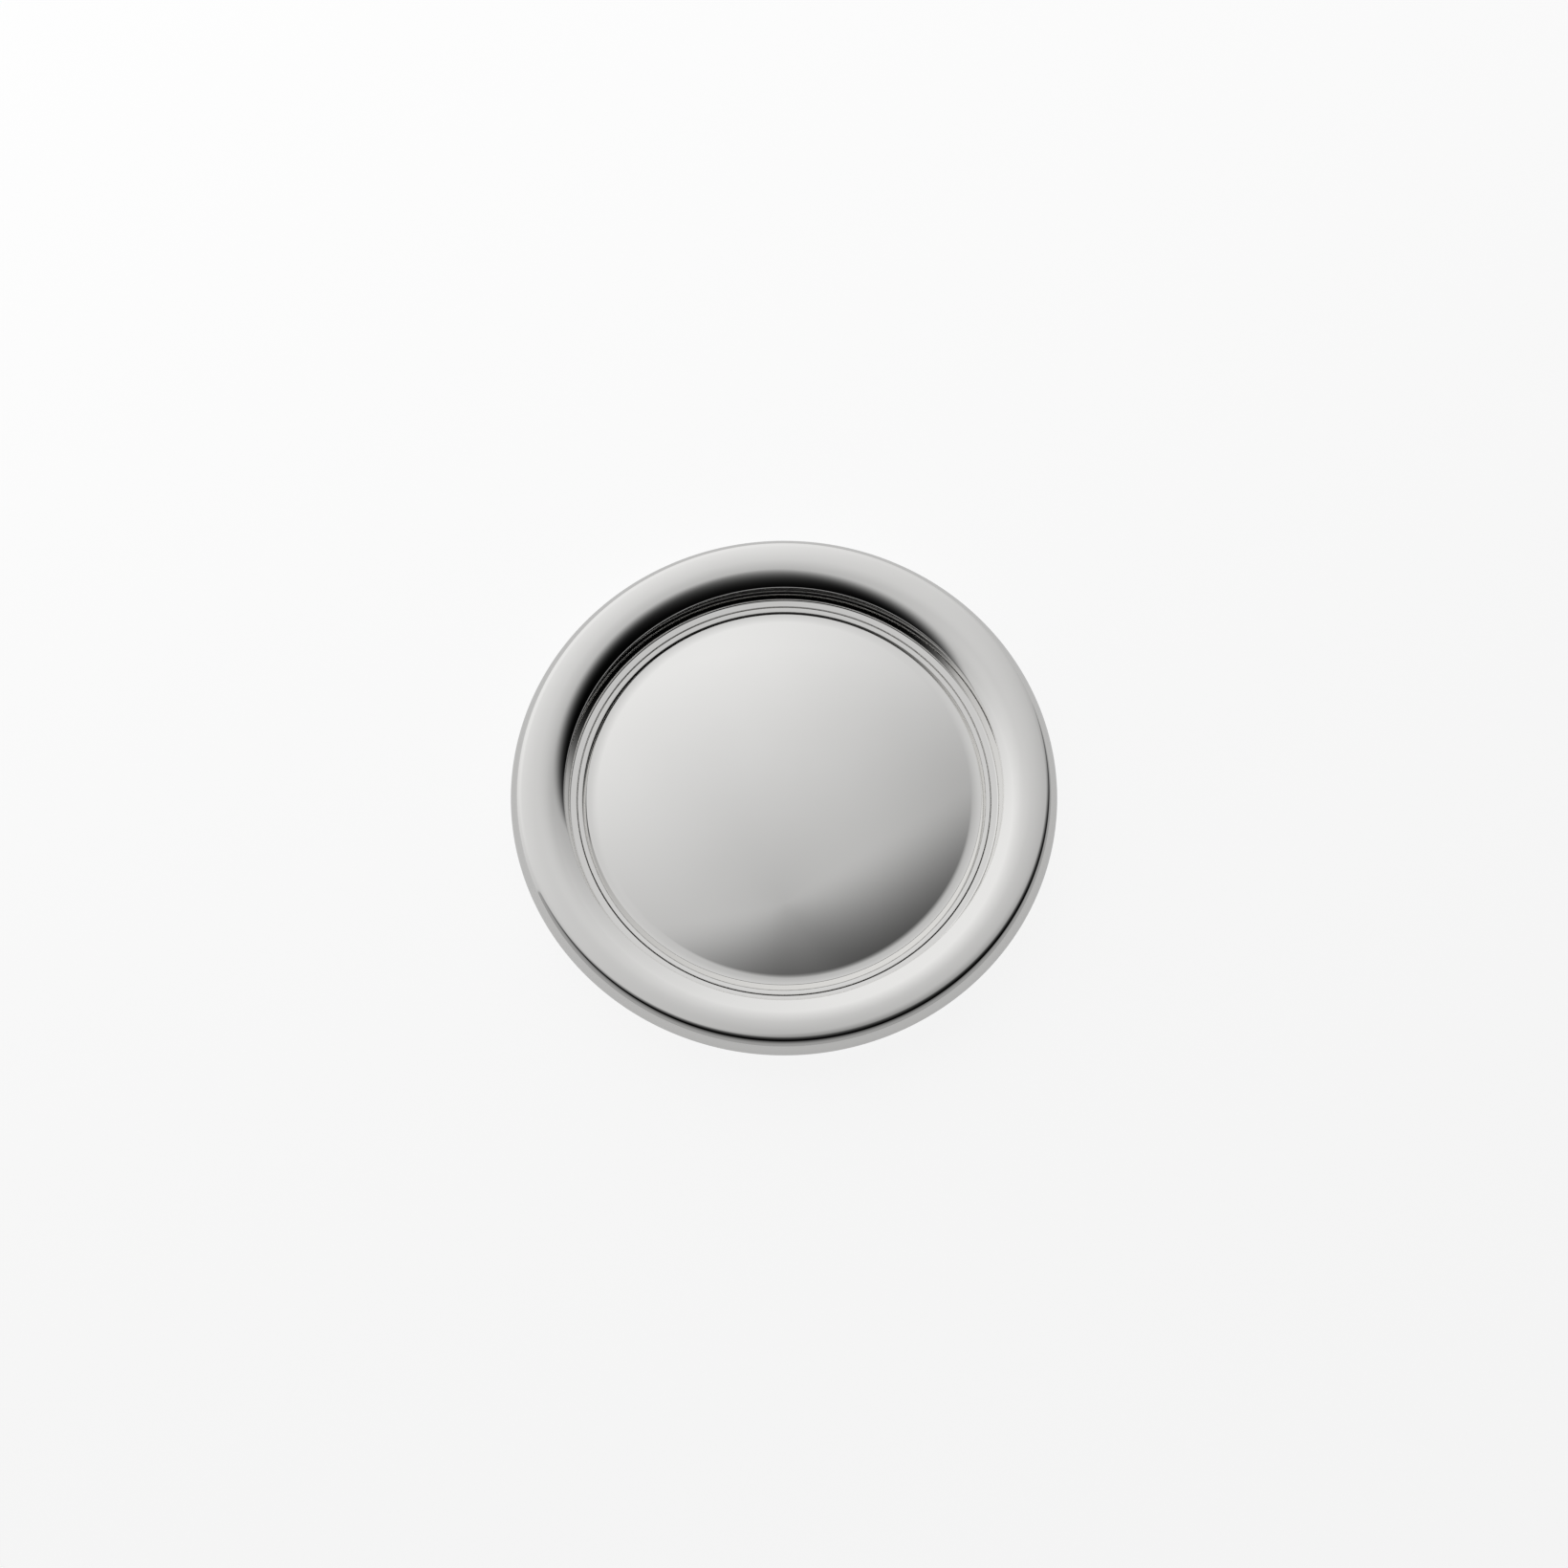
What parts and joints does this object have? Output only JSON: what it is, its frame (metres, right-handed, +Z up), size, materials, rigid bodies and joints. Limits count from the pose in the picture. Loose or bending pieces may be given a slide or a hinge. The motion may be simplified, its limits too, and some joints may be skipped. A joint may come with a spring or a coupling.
{
  "type": "paten plate",
  "caption": "Round mirror-polished silver-plated paten plate with a full rounded rim round a sunk well, whose centre is a gentle dome with a bevelled edge, on a low foot ring.",
  "frame": {"origin": "on the plate's axis, in the plane that the foot ring stands on", "axes": "+Z up along the plate's axis of symmetry; +X and +Y in the standing plane, the plate being the same all round"},
  "size_m": [0.15, 0.15, 0.0139],
  "materials": {
    "silver_plate": "polished",
    "silver_plate_satin": "satin",
    "brass_wire": "satin",
    "silver_solder": "satin"
  },
  "bodies": {
    "root": {"rim": "silver_plate", "well_plate": "silver_plate", "foot_ring": "silver_plate_satin", "edge_wire": "brass_wire", "rim_solder": "silver_solder", "well_solder": "silver_solder"}
  },
  "joints": []
}
